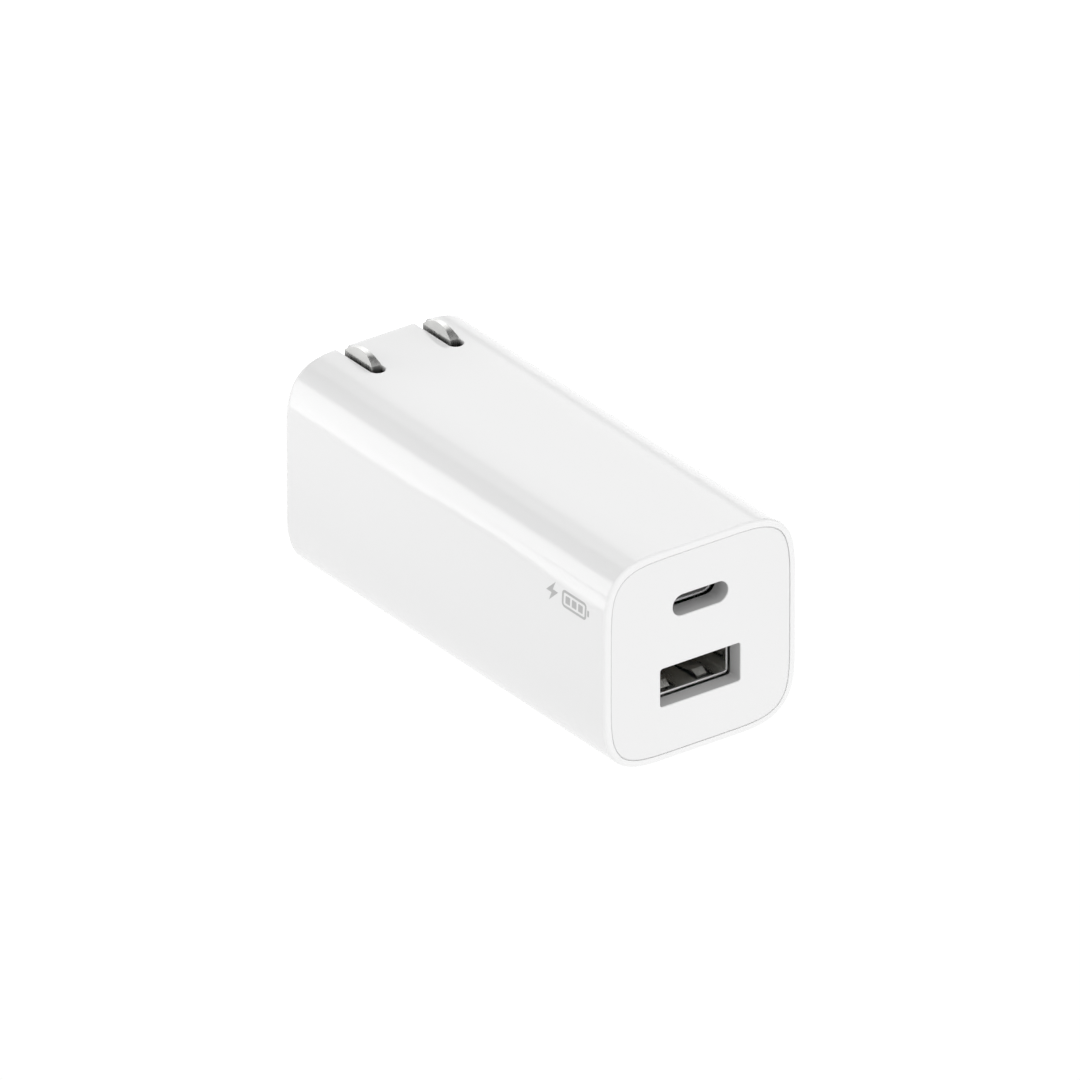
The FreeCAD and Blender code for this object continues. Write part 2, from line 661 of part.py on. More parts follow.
def all_lead_solids():
    solids = []
    for name in lead_places():
        solids += leads_of(name, MAIN_BOARD_TOP_Z + 1)
    return solids


# ---------------------------------------------------------------- blades and spindle

def make_blade(side):
    """Flat blade: bevelled round tip above, full width to the axis, narrow tail below it."""
    half_width = BLADE_WIDTH / 2
    arc_drop = TIP_ARC_RADIUS - math.sqrt(TIP_ARC_RADIUS ** 2 - half_width ** 2)
    shoulder_z = TIP_Z - arc_drop
    half_tail = TAIL_WIDTH / 2
    tail_z = SPINDLE_Z - math.sqrt(TAIL_RADIUS ** 2 - half_tail ** 2)
    x0 = side * BLADE_X - BLADE_THICK / 2

    def at(across, z):
        return Vector(x0, SPINDLE_Y + across, z)

    tip = Part.Arc(at(-half_width, shoulder_z), at(0, TIP_Z), at(half_width, shoulder_z))
    tail = Part.Arc(at(half_tail, tail_z), at(0, SPINDLE_Z - TAIL_RADIUS), at(-half_tail, tail_z))
    corners = [
        (at(half_width, shoulder_z), at(half_width, SPINDLE_Z)),
        (at(half_width, SPINDLE_Z), at(half_tail, SPINDLE_Z)),
        (at(half_tail, SPINDLE_Z), at(half_tail, tail_z)),
        (at(-half_tail, tail_z), at(-half_tail, SPINDLE_Z)),
        (at(-half_tail, SPINDLE_Z), at(-half_width, SPINDLE_Z)),
        (at(-half_width, SPINDLE_Z), at(-half_width, shoulder_z)),
    ]
    lines = [Part.LineSegment(start, end).toShape() for start, end in corners]
    outline = Part.Wire(Part.__sortEdges__([tip.toShape(), tail.toShape()] + lines))
    blade = Part.Face(outline).extrude(X_AXIS * BLADE_THICK)
    long_edges = []
    for edge in edges_along(blade, Z_AXIS):
        if abs(edge.BoundBox.Center.y - SPINDLE_Y) > half_width - 0.01 and edge.Length > BLADE_WIDTH:
            long_edges.append(edge)
    blade = blade.makeFillet(BLADE_EDGE, long_edges)
    for face_side in (-1, 1):
        blade = blade.cut(bevel_wedge(side * BLADE_X + face_side * BLADE_THICK / 2, face_side, shoulder_z))
    return blade


def bevel_wedge(face_x, face_side, start_z):
    """What the grinding takes off one side of the tip, above the shoulder."""
    rise = TIP_Z + 1 - start_z
    run = rise * math.tan(math.radians(BEVEL_DEGREES))
    y0 = SPINDLE_Y - BLADE_WIDTH
    corners = [Vector(face_x, y0, start_z), Vector(face_x - face_side * run, y0, start_z + rise),
               Vector(face_x + face_side, y0, start_z + rise), Vector(face_x + face_side, y0, start_z)]
    return Part.Face(Part.makePolygon(corners + corners[:1])).extrude(Y_AXIS * 2 * BLADE_WIDTH)


def axis_cylinder(radius, half_length):
    return cylinder(radius, Vector(-half_length, SPINDLE_Y, SPINDLE_Z), X_AXIS, 2 * half_length)


def make_spindle(blades):
    drum = axis_cylinder(DRUM_RADIUS, DRUM_HALF_LENGTH)
    drum = drum.makeChamfer(DRUM_CHAMFER, [edge for edge in drum.Edges if edge.Length > DRUM_RADIUS * 6])
    waist = axis_cylinder(DRUM_RADIUS + 1, CAM_HALF_LENGTH)
    waist = waist.cut(axis_cylinder(CAM_RADIUS, CAM_HALF_LENGTH + 1))
    reach = DRUM_RADIUS + 2
    front_flat = box(-CAM_HALF_LENGTH, CAM_HALF_LENGTH, SPINDLE_Y - reach, SPINDLE_Y - CAM_FLAT,
                     SPINDLE_Z - reach, SPINDLE_Z + reach)
    low_flat = box(-CAM_HALF_LENGTH, CAM_HALF_LENGTH, SPINDLE_Y - reach, SPINDLE_Y + reach,
                   SPINDLE_Z - reach, SPINDLE_Z - CAM_FLAT)
    spindle = cut(drum, [waist, front_flat, low_flat])
    spindle = join([spindle, axis_cylinder(JOURNAL_RADIUS, JOURNAL_END_X)])
    return cut(spindle, blades)


def journal_slot(side, play):
    """The open-backed slot in a cradle cheek that takes the spindle's journal."""
    half = JOURNAL_RADIUS + JOURNAL_PLAY - play
    x0, x1 = sorted((side * (CHAMBER_HALF_X + play), side * (CRADLE_HALF + 1 - play)))
    return box(x0, x1, SPINDLE_Y, BACK_Y, SPINDLE_Z - half, SPINDLE_Z + half)


def make_keeper(side):
    keeper = journal_slot(side, KEEPER_PLAY)
    x0, x1 = sorted((side * CHAMBER_HALF_X, side * (CRADLE_HALF - KEEPER_PLAY)))
    limits = box(x0, x1, SPINDLE_Y + KEEPER_BACKSET, CRADLE_BACK_Y, 0, 2 * HALF)
    seat = axis_cylinder(JOURNAL_RADIUS + JOURNAL_PLAY, CRADLE_HALF + 1)
    return keeper.common(limits).cut(seat)


def stake(x, y, z):
    """A moulded pin on the cradle that holds a spring leaf; its head stands off the leaf."""
    return cylinder(STAKE_RADIUS, Vector(x, y - STAKE_HEAD, z), Y_AXIS, STAKE_HEAD + 1)


def make_cradle():
    cradle = cavity_prism(CRADLE_SECTION_HALF, CRADLE_FRONT_Y, CRADLE_BACK_Y)
    cradle = cradle.common(box(-CRADLE_HALF, CRADLE_HALF, 0, BACK_Y, 0, 2 * HALF))
    hollow = box(-CRADLE_HOLLOW_HALF, CRADLE_HOLLOW_HALF, 0, CRADLE_HOLLOW_BACK_Y,
                 CRADLE_HOLLOW_LOW_Z, CRADLE_HOLLOW_HIGH_Z)
    detent_half = DETENT_HALF + DETENT_SLOT_PLAY
    detent_slot = box(-detent_half, detent_half, 0, DETENT_Y + DETENT_THICK,
                      DETENT_LOW_Z - 1, DETENT_TOP_Z + DETENT_SLOT_PLAY)
    tools = [axis_cylinder(CHAMBER_RADIUS, CHAMBER_HALF_X), hollow, detent_slot]
    tools.append(axis_cylinder(JOURNAL_RADIUS + JOURNAL_PLAY, CRADLE_HALF + 1))
    window = box(-CHAMBER_HALF_X, CHAMBER_HALF_X, SPINDLE_Y, BACK_Y,
                 SPINDLE_Z - CHAMBER_RADIUS, SPINDLE_Z + CHAMBER_RADIUS)
    tools.append(window)
    for name, side in SIDES:
        x = side * BLADE_X
        tools.append(slot_cutter(side, SPINDLE_Z))
        tools.append(journal_slot(side, 0))
        sweep_start = Vector(x - SLOT_HALF, SPINDLE_Y, SPINDLE_Z)
        tools.append(cylinder(TAIL_SWEEP_RADIUS, sweep_start, X_AXIS, SLOT_WIDTH))
    cradle = cut(cradle, tools)
    stakes = [stake(0, DETENT_Y + DETENT_THICK, DETENT_STAKE_Z)]
    for name, side in SIDES:
        stakes.append(stake(side * BLADE_X, CRADLE_FRONT_Y, LEAF_STAKE_Z))
    return join([cradle] + stakes)


def make_contact_leaf(side):
    """Upright strip that a blade's tail meets when open, with a foot on the main board."""
    x = side * BLADE_X
    half = LEAF_WIDTH / 2
    upright = box(x - half, x + half, CRADLE_FRONT_Y - LEAF_THICK, CRADLE_FRONT_Y,
                  MAIN_BOARD_TOP_Z, LEAF_TOP_Z)
    foot = box(x - half, x + half, MAIN_BOARD_BACK_Y - LEAF_FOOT, CRADLE_FRONT_Y,
               MAIN_BOARD_TOP_Z, MAIN_BOARD_TOP_Z + LEAF_THICK)
    leaf = join([upright, foot])
    corners = [edge for edge in edges_along(leaf, Y_AXIS) if edge.BoundBox.ZMin > LEAF_TOP_Z - 0.01]
    return leaf.makeFillet(LEAF_CORNER, corners).cut(stake(x, CRADLE_FRONT_Y, LEAF_STAKE_Z))


def make_detent_spring():
    leaf = box(-DETENT_HALF, DETENT_HALF, DETENT_Y, DETENT_Y + DETENT_THICK, DETENT_LOW_Z, DETENT_TOP_Z)
    corners = edges_along(leaf, Y_AXIS)
    return leaf.makeFillet(LEAF_CORNER, corners).cut(stake(0, DETENT_Y + DETENT_THICK, DETENT_STAKE_Z))


# ---------------------------------------------------------------- liner and cooling

def wrap(half, thick, y0, y1, low_z):
    """A sheet that lines the roof and both sides of the cavity and is open below."""
    sheet = cavity_prism(half, y0, y1).cut(cavity_prism(half - thick, y0 - 1, y1 + 1))
    return sheet.cut(box(-HALF, HALF, y0 - 1, y1 + 1, 0, low_z))


def make_thermal_pad(side):
    x0, x1 = sorted((side * CORE_HALF_X, side * (SPREADER_HALF - SPREADER_THICK)))
    return box(x0, x1, TRANSFORMER_Y - CORE_HALF_Y, TRANSFORMER_Y + CORE_HALF_Y,
               HALF - PAD_HALF_Z, HALF + PAD_HALF_Z)


# ---------------------------------------------------------------- transformer

def core_half(low_z, plate_low_z):
    """One E-shaped ferrite: a plate with two outer legs and a centre leg."""
    mid_z = CORE_LOW_Z + CORE_HEIGHT / 2
    z0, z1 = sorted((low_z, mid_z))
    y0 = TRANSFORMER_Y - CORE_HALF_Y
    y1 = TRANSFORMER_Y + CORE_HALF_Y
    plate = box(-CORE_HALF_X, CORE_HALF_X, y0, y1, plate_low_z, plate_low_z + CORE_PLATE)
    legs = [box(-CENTRE_LEG_HALF, CENTRE_LEG_HALF, y0 + CENTRE_LEG_INSET, y1 - CENTRE_LEG_INSET, z0, z1)]
    for name, side in SIDES:
        leg_x = sorted((side * CORE_LEG_INNER_X, side * CORE_HALF_X))
        legs.append(box(leg_x[0], leg_x[1], y0, y1, z0, z1))
    half = join([plate] + legs)
    outer = [edge for edge in edges_along(half, Z_AXIS) if abs(edge.BoundBox.XMin) > CORE_HALF_X - 0.01]
    return half.makeFillet(CASE_EDGE, outer)


def bobbin_window():
    """The winding room between the core's two plates."""
    return CORE_LOW_Z + CORE_PLATE, CORE_LOW_Z + CORE_HEIGHT - CORE_PLATE


def make_bobbin():
    low_z, high_z = bobbin_window()
    y0 = TRANSFORMER_Y - BOBBIN_HALF_Y
    y1 = TRANSFORMER_Y + BOBBIN_HALF_Y
    tube_x = CENTRE_LEG_HALF + BOBBIN_TUBE
    tube_y = CORE_HALF_Y - CENTRE_LEG_INSET + BOBBIN_TUBE
    parts = [box(-tube_x, tube_x, TRANSFORMER_Y - tube_y, TRANSFORMER_Y + tube_y, low_z, high_z)]
    for z in (low_z, high_z - BOBBIN_FLANGE):
        parts.append(box(-BOBBIN_HALF_X, BOBBIN_HALF_X, y0, y1, z, z + BOBBIN_FLANGE))
    for row in (-1, 1):
        inner_y = BOBBIN_HALF_Y - PIN_RAIL
        edge_y = sorted((TRANSFORMER_Y + row * BOBBIN_HALF_Y, TRANSFORMER_Y + row * inner_y))
        parts.append(box(-BOBBIN_HALF_X, BOBBIN_HALF_X, edge_y[0], edge_y[1],
                         MAIN_BOARD_TOP_Z + PIN_RAIL_LIFT, low_z + BOBBIN_FLANGE))
    parts += leads_of("transformer_bobbin", low_z)
    leg_y = CORE_HALF_Y - CENTRE_LEG_INSET
    well = box(-CENTRE_LEG_HALF, CENTRE_LEG_HALF, TRANSFORMER_Y - leg_y, TRANSFORMER_Y + leg_y,
               CORE_LOW_Z, CORE_LOW_Z + CORE_HEIGHT)
    return join(parts).cut(well)


def make_winding():
    low_z, high_z = bobbin_window()
    half_x = BOBBIN_HALF_X - WINDING_INSET
    half_y = BOBBIN_HALF_Y - WINDING_INSET
    coil = box(-half_x, half_x, TRANSFORMER_Y - half_y, TRANSFORMER_Y + half_y,
               low_z + BOBBIN_FLANGE, high_z - BOBBIN_FLANGE)
    coil = coil.makeFillet(WINDING_CORNER, edges_along(coil, Z_AXIS))
    tube_x = CENTRE_LEG_HALF + BOBBIN_TUBE
    tube_y = CORE_HALF_Y - CENTRE_LEG_INSET + BOBBIN_TUBE
    return coil.cut(box(-tube_x, tube_x, TRANSFORMER_Y - tube_y, TRANSFORMER_Y + tube_y, 0, 2 * HALF))


# ---------------------------------------------------------------- mains filter

def choke_cylinder(radius, half_y):
    return cylinder(radius, Vector(0, CHOKE_Y - half_y, CHOKE_Z), Y_AXIS, 2 * half_y)


def make_choke_core():
    ring = choke_cylinder(CHOKE_OUTER, CHOKE_HALF_Y).cut(choke_cylinder(CHOKE_INNER, CHOKE_HALF_Y + 1))
    return ring.makeFillet(CASE_EDGE, [edge for edge in ring.Edges if edge.Length > CHOKE_INNER * 5])


def choke_turn(angle):
    """One turn of wire: a rounded frame that closes round the ring's section."""
    inner_half = (CHOKE_OUTER - CHOKE_INNER) / 2 + CHOKE_COAT
    mid = (CHOKE_OUTER + CHOKE_INNER) / 2
    depth = CHOKE_HALF_Y + CHOKE_COAT

    def frame(grow, thick):
        body = box(mid - inner_half - grow, mid + inner_half + grow,
                   CHOKE_Y - depth - grow, CHOKE_Y + depth + grow, CHOKE_Z - thick, CHOKE_Z + thick)
        return body.makeFillet(CASE_EDGE + grow, edges_along(body, Z_AXIS))

    turn = frame(CHOKE_WIRE, CHOKE_WIRE / 2).cut(frame(0, CHOKE_WIRE))
    turn.rotate(Vector(0, CHOKE_Y, CHOKE_Z), Y_AXIS, angle)
    return turn


def make_choke_winding(side):
    middle = 0 if side > 0 else 180
    first = middle - CHOKE_TURN_STEP * (CHOKE_TURNS - 1) / 2
    return Part.makeCompound([choke_turn(first + CHOKE_TURN_STEP * index) for index in range(CHOKE_TURNS)])


def make_choke_base():
    """A plate under the ring with a fin that keeps the two windings apart."""
    plate_x, plate_y = CHOKE_BASE_HALF
    front_y = CHOKE_Y - plate_y
    low_z = MAIN_BOARD_TOP_Z
    inner = CHOKE_INNER - CHOKE_WIRE - CHOKE_FIN_HALF
    plate = box(-plate_x, plate_x, front_y, CHOKE_Y + plate_y, low_z, low_z + CHOKE_BASE_THICK)
    post_y = CHOKE_Y - CHOKE_HALF_Y - CHOKE_COAT
    post = box(-CHOKE_FIN_HALF, CHOKE_FIN_HALF, front_y, post_y, low_z, CHOKE_Z + inner)
    fin = box(-CHOKE_FIN_HALF, CHOKE_FIN_HALF, front_y, CHOKE_Y + CHOKE_HALF_Y,
              CHOKE_Z - inner, CHOKE_Z + inner)
    return join([plate, post, fin])


def make_cased_part(name, outline):
    """A boxed part that stands on the main board on two leads."""
    x0, x1, y0, y1, height = outline
    case = rounded_box(x0, x1, y0, y1, MAIN_BOARD_TOP_Z, MAIN_BOARD_TOP_Z + height, CASE_EDGE)
    return join([case] + leads_of(name, MAIN_BOARD_TOP_Z + 1))


def can(radius, length):
    """A capacitor can standing on z = 0, with its crimp groove near the foot."""
    body = Part.makeCylinder(radius, length)
    body = body.makeFillet(CAN_EDGE, [edge for edge in body.Edges if edge.Length > radius * 6])
    groove = Part.makeTorus(radius + CAN_GROOVE, 2 * CAN_GROOVE, Vector(0, 0, length * CAN_GROOVE_PLACE))
    reach, half, depth = radius * CAN_SCORE[0], CAN_SCORE[1], CAN_SCORE[2]
    scores = []
    for angle in (0, 90):
        score = box(-reach, reach, -half, half, length - depth, length + 1)
        score.rotate(Vector(0, 0, 0), Z_AXIS, angle)
        scores.append(score)
    return cut(body, [groove] + scores)


def make_bulk_capacitor(name, side):
    body = can(BULK_RADIUS, BULK_HEIGHT)
    body.translate(Vector(side * BULK_X, BULK_Y, MAIN_BOARD_TOP_Z))
    return join([body] + leads_of("bulk_capacitor_" + name, MAIN_BOARD_TOP_Z + 1))


def make_output_capacitor(side):
    body = can(OUTPUT_CAP_RADIUS, OUTPUT_CAP_LENGTH)
    body.rotate(Vector(0, 0, 0), X_AXIS, 90)
    body.translate(Vector(side * OUTPUT_CAP_X, OUTPUT_BOARD_Y, OUTPUT_CAP_Z))
    return body


def make_y_capacitor():
    x, y, z, radius, thick = Y_CAPACITOR
    disc = cylinder(radius, Vector(x - thick / 2, y, z), X_AXIS, thick)
    disc = disc.makeFillet(Y_CAPACITOR_EDGE, [edge for edge in disc.Edges if edge.Length > radius * 6])
    return join([disc] + leads_of("y_capacitor", z))


# ---------------------------------------------------------------- chip packages

def chip(size_x, size_y, height, leads):
    """A chip package on z = 0, centred, with flat leads along both long sides."""
    body = rounded_box(-size_x / 2, size_x / 2, -size_y / 2, size_y / 2, CHIP_LIFT, height, CHIP_EDGE)
    pitch = size_y / (leads + 1)
    parts = [body]
    for index in range(leads):
        y = -size_y / 2 + pitch * (index + 1)
        reach = size_x / 2 + CHIP_LEAD_REACH
        parts.append(box(-reach, reach, y - CHIP_LEAD / 2, y + CHIP_LEAD / 2, 0, CHIP_LEAD_THICK))
    return join(parts)


def chip_under_board(spec):
    x, y, size_x, size_y, height, leads = spec
    body = chip(size_x, size_y, height, leads)
    body.rotate(Vector(0, 0, 0), Y_AXIS, 180)
    body.translate(Vector(x, y, MAIN_BOARD_Z))
    return body


def chip_on_board(spec):
    x, y, size_x, size_y, height, leads = spec
    body = chip(size_x, size_y, height, leads)
    body.translate(Vector(x, y, MAIN_BOARD_TOP_Z))
    return body


def chip_behind_output_board(spec):
    x, z, size_x, size_y, height, leads = spec
    body = chip(size_x, size_y, height, leads)
    body.rotate(Vector(0, 0, 0), X_AXIS, -90)
    body.translate(Vector(x, OUTPUT_BOARD_Y + OUTPUT_BOARD_THICK, z))
    return body


# ---------------------------------------------------------------- whole object

def make_nodes():
    blades = {name: make_blade(side) for name, side in SIDES}
    nodes = {
        "outer_shell": make_outer_shell(),
        "front_panel": make_front_panel(),
        "insulating_liner": wrap(LINER_HALF, LINER_THICK, LINER_FRONT_Y, LINER_BACK_Y, LINER_LOW_Z),
        "heat_spreader": wrap(SPREADER_HALF, SPREADER_THICK, SPREADER_FRONT_Y, SPREADER_BACK_Y,
                              SPREADER_LOW_Z),
        "blade_cradle": make_cradle(),
        "blade_spindle": make_spindle(list(blades.values())),
        "detent_spring": make_detent_spring(),
        "usb_a_shell": make_usb_a_shell(),
        "usb_a_tongue": make_usb_a_tongue(),
        "usb_a_contacts": make_usb_a_contacts(),
        "usb_a_base": make_usb_a_base(),
        "usb_c_shell": make_usb_c_shell(),
        "usb_c_tongue": make_usb_c_tongue(),
        "usb_c_contacts": Part.makeCompound(usb_c_contact_rows()),
        "usb_c_base": make_usb_c_base(),
        "main_board": make_main_board(),
        "output_board": make_output_board(),
        "transformer_core_lower": core_half(CORE_LOW_Z, CORE_LOW_Z),
        "transformer_core_upper": core_half(CORE_LOW_Z + CORE_HEIGHT, CORE_LOW_Z + CORE_HEIGHT - CORE_PLATE),
        "transformer_bobbin": make_bobbin(),
        "transformer_winding": make_winding(),
        "choke_core": make_choke_core(),
        "choke_base": make_choke_base(),
        "x_capacitor": make_cased_part("x_capacitor", X_CAPACITOR_BOX),
        "fuse": make_cased_part("fuse", FUSE_BOX),
        "y_capacitor": make_y_capacitor(),
        "bridge_rectifier": chip_under_board(BRIDGE),
        "primary_switch": chip_under_board(PRIMARY_SWITCH),
        "control_chip": chip_under_board(CONTROL_CHIP),
        "sync_rectifier": chip_under_board(SYNC_RECTIFIER),
        "optocoupler": chip_on_board(OPTOCOUPLER),
        "protocol_chip": chip_behind_output_board(PROTOCOL_CHIP),
    }
    for name, side in SIDES:
        nodes["blade_" + name] = blades[name]
        nodes["journal_keeper_" + name] = make_keeper(side)
        nodes["contact_leaf_" + name] = make_contact_leaf(side)
        nodes["thermal_pad_" + name] = make_thermal_pad(side)
        nodes["choke_winding_" + name] = make_choke_winding(side)
        nodes["bulk_capacitor_" + name] = make_bulk_capacitor(name, side)
        nodes["output_capacitor_" + name] = make_output_capacitor(side)
    return nodes


def main():
    os.makedirs("parts", exist_ok=True)
    for name, shape in make_nodes().items():
        print(name, "valid" if shape.isValid() else "NOT VALID", len(shape.Solids), round(shape.Volume, 1))
        shape.exportStep(os.path.join("parts", name + ".step"))


main()
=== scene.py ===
"""Looks of the wall-plug USB power adapter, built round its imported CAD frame. Units are metres."""
import json
import math

import bmesh
import bpy
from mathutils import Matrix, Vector


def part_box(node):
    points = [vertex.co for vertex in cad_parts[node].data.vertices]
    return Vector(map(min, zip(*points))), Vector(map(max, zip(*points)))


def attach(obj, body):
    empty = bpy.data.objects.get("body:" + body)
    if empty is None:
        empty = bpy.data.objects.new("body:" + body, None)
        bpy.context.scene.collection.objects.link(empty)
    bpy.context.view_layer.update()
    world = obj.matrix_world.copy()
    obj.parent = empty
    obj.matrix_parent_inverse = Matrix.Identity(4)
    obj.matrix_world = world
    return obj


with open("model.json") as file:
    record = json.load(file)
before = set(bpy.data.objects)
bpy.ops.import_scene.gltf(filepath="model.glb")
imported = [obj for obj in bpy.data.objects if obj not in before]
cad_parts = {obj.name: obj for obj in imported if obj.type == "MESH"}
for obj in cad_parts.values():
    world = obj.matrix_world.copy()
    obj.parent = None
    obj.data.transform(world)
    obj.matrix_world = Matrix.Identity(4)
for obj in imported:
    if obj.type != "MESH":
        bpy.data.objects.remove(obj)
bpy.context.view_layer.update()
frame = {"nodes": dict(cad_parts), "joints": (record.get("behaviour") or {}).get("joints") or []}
NODES = frame["nodes"]

MM = 0.001
SHELL_LOW, SHELL_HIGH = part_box("outer_shell")
CENTRE = (SHELL_LOW + SHELL_HIGH) / 2
HALF = (SHELL_HIGH.x - SHELL_LOW.x) / 2
FRONT_Y = SHELL_LOW.y
BACK_Y = SHELL_HIGH.y
TOP_Z = SHELL_HIGH.z

# Camera: from far off at the front left and above
CAMERA_AZIMUTH = math.radians(-35.96)
CAMERA_ELEVATION = math.radians(28.04)
CAMERA_LENS = 1400.0            # mm, so long that the view is all but parallel
SENSOR_WIDTH = 36.0             # mm
FRAME_WIDTH = 0.14203           # of the view at the object
AIM_RIGHT = 0.1 * MM
AIM_UP = -0.1 * MM

# Studio light. Its radiance is in units of what the view shows as white.
# Each lobe: azimuth from +Y towards +X, elevation, full inside, gone outside (degrees), radiance
AMBIENT = 0.05
LOBES = {
    "key": (-130, 60, 20, 60, 0.64),
    "top": (-140, 76, 20, 48, 0.52),
    "left": (-105, 8, 20, 46, 0.50),
    "strip": (-44, 5, 14, 25, 2.75),
    "back_top": (12, 45, 4, 16, 1.05),
    "window": (50, 46, 8, 20, 1.60),
    "back_right": (35, 30, 6, 18, 1.90),
    "horizon": (-8, 3, 14, 28, 0.55),
    "low_back": (27, 9, 5, 15, 1.20),
    "low_right": (45, 3, 6, 17, 1.50),
    "right": (106, 6, 15, 38, 1.00),
    "front_right": (168, 16, 20, 55, 1.00),
}
FLOOR_WHITE = 1.02
FLOOR_HALF = 1.5
# The bright patch of floor to the back left, a band along one direction
PATCH_START = 62 * MM
PATCH_FULL = 84 * MM
PATCH_NOTCH = 20 * MM
PATCH_SLOPE = 1.083
PATCH_SHIFT = 16.8 * MM
NOTCH_RISE = (-24 * MM, -15 * MM)
NOTCH_FALL = (-8 * MM, 12 * MM)
PATCH_INSIDE = 40 * MM
PATCH_OUTSIDE = 62 * MM
PATCH_GLOW = 1.8
# The fainter patch to the back right, a sector with its angles in degrees
SECTOR_AZIMUTH = 50
SECTOR_INSIDE = 22
SECTOR_OUTSIDE = 42
SECTOR_GLOW = 0.40

WHITE = (0.82, 0.82, 0.82, 1.0)
PANEL_WHITE = (0.84, 0.84, 0.84, 1.0)
# Painted highlight: the front rim of the shell is painted whiter than the rest
RIM_PAINTED_LIGHT = (0.87, 0.87, 0.87, 1.0)

# Places that the looks depend on
BLADE_LOW, BLADE_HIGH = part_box("blade_right")
BLADE_X = (BLADE_LOW.x + BLADE_HIGH.x) / 2
BLADE_AXIS_Z = frame["joints"][0]["pos_m"][2]
SLOT_REACH = 1.15 * MM
SLOT_FRONT_Y = 26.45 * MM
# Painted shade: the dark grey painted on the slot walls, where little light gets in
SLOT_SHADE_GREY = 0.06
CUT_OUTS_REACH = 11.5 * MM
# Painted shade: the top is painted a little darker towards the back
DIM_ALONG = (16 * MM, 33 * MM)
DIM_UP = (28 * MM, TOP_Z)
USB_A_LIP_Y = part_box("usb_a_shell")[0].y
USB_C_LIP_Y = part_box("usb_c_shell")[0].y
BETWEEN_PORTS = (16 * MM, 17 * MM)
# The middle part of a noise that the looks use
NOISE_LOW = 0.3
NOISE_HIGH = 0.7


def direction(azimuth, elevation):
    """Unit vector towards an azimuth from -Y, positive to +X, and an elevation."""
    flat = math.cos(elevation)
    return Vector((math.sin(azimuth) * flat, -math.cos(azimuth) * flat, math.sin(elevation)))


def grey(value):
    return (value, value, value, 1.0)


def darker(colour, share):
    return tuple(channel * share for channel in colour[:3]) + (1.0,)


# ---------------------------------------------------------------- node trees

class Graph:
    """Short names for building one node tree."""

    def __init__(self, tree):
        self.tree = tree
        self.tree.nodes.clear()

    def node(self, kind, inputs=None, **settings):
        made = self.tree.nodes.new(kind)
        for name, value in settings.items():
            setattr(made, name, value)
        for key, value in (inputs or {}).items():
            self.feed(made.inputs[key], value)
        return made

    def feed(self, socket, value):
        if isinstance(value, bpy.types.NodeSocket):
            self.tree.links.new(value, socket)
        else:
            socket.default_value = value

    def maths(self, operation, first, second=0.0):
        made = self.node("ShaderNodeMath", operation=operation)
        self.feed(made.inputs[0], first)
        self.feed(made.inputs[1], second)
        return made.outputs[0]

    def ramp(self, value, low, high, out_low=0.0, out_high=1.0):
        inputs = {0: value, 1: low, 2: high, 3: out_low, 4: out_high}
        made = self.node("ShaderNodeMapRange", inputs, interpolation_type="SMOOTHSTEP")
        return made.outputs[0]

    def spread(self, noise, low, high):
        """Stretch the middle of a noise over a range of values."""
        return self.ramp(noise, NOISE_LOW, NOISE_HIGH, low, high)

    def product(self, first, *others):
        for other in others:
            first = self.maths("MULTIPLY", first, other)
        return first

    def facing(self, vector, aim):
        """Cosine of the angle between a unit vector and a fixed direction."""
        inputs = {0: vector, 1: aim}
        return self.node("ShaderNodeVectorMath", inputs, operation="DOT_PRODUCT").outputs["Value"]

    def split(self, vector):
        return self.node("ShaderNodeSeparateXYZ", {0: vector}).outputs

    def mix(self, factor, first, second):
        made = self.node("ShaderNodeMix", data_type="RGBA")
        self.feed(made.inputs[0], factor)
        self.feed(made.inputs[6], first)
        self.feed(made.inputs[7], second)
        return made.outputs[2]

    def place(self):
        return self.node("ShaderNodeTexCoord").outputs["Object"]

    def noise(self, vector, scale, detail=2.0):
        inputs = {"Vector": vector, "Scale": scale, "Detail": detail}
        return self.node("ShaderNodeTexNoise", inputs).outputs["Fac"]

    def stretched(self, vector, scale):
        return self.node("ShaderNodeMapping", {"Vector": vector, "Scale": scale}).outputs[0]

    def bump(self, height, depth):
        inputs = {"Height": height, "Strength": 1.0, "Distance": depth}
        return self.node("ShaderNodeBump", inputs).outputs[0]

    def surface(self, **inputs):
        named = {key.replace("_", " "): value for key, value in inputs.items()}
        shader = self.node("ShaderNodeBsdfPrincipled", named)
        self.node("ShaderNodeOutputMaterial", {"Surface": shader.outputs[0]})


# ---------------------------------------------------------------- studio

def make_camera():
    data = bpy.data.cameras.new("camera")
    data.sensor_width = SENSOR_WIDTH
    data.lens = CAMERA_LENS
    distance = FRAME_WIDTH * CAMERA_LENS / SENSOR_WIDTH
    data.clip_start = distance / 2
    data.clip_end = distance * 2
    camera = bpy.data.objects.new("camera", data)
    back = direction(CAMERA_AZIMUTH, CAMERA_ELEVATION)
    camera.rotation_euler = back.to_track_quat("Z", "Y").to_euler()
    turn = camera.rotation_euler.to_matrix()
    aim = CENTRE + turn @ Vector((AIM_RIGHT, AIM_UP, 0))
    camera.location = aim + back * distance
    bpy.context.scene.collection.objects.link(camera)
    bpy.context.scene.camera = camera


